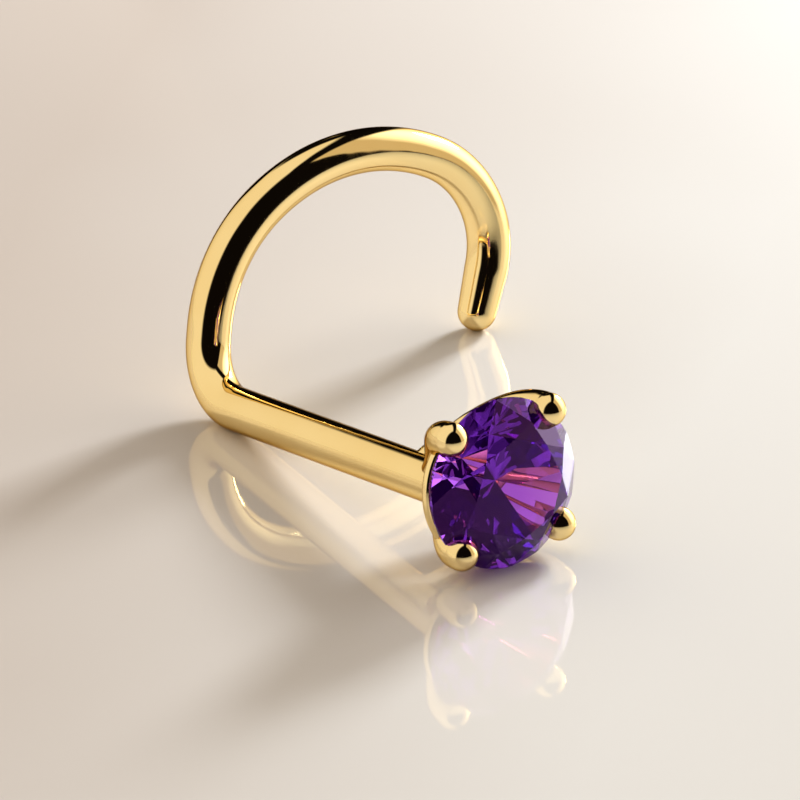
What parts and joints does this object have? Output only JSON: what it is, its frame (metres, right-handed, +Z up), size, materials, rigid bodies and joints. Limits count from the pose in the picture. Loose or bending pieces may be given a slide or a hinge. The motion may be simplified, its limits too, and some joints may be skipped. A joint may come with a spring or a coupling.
{
  "type": "nose screw stud",
  "caption": "Nose screw: a straight gold post with a claw-set round purple stone in front and, behind a tight bend, a C-shaped hook of the same wire.",
  "frame": {"origin": "middle of the footprint, on the surface that the screw lies on", "axes": "+Z up, +Y along the post from the stone to the hook, +X from the post towards the tip of the hook"},
  "size_m": [0.0078, 0.01, 0.0043],
  "materials": {
    "gold": "polished yellow gold",
    "stone": "polished facets"
  },
  "bodies": {
    "root": {"gold_nose_screw": "gold", "round_stone": "stone"}
  },
  "joints": []
}
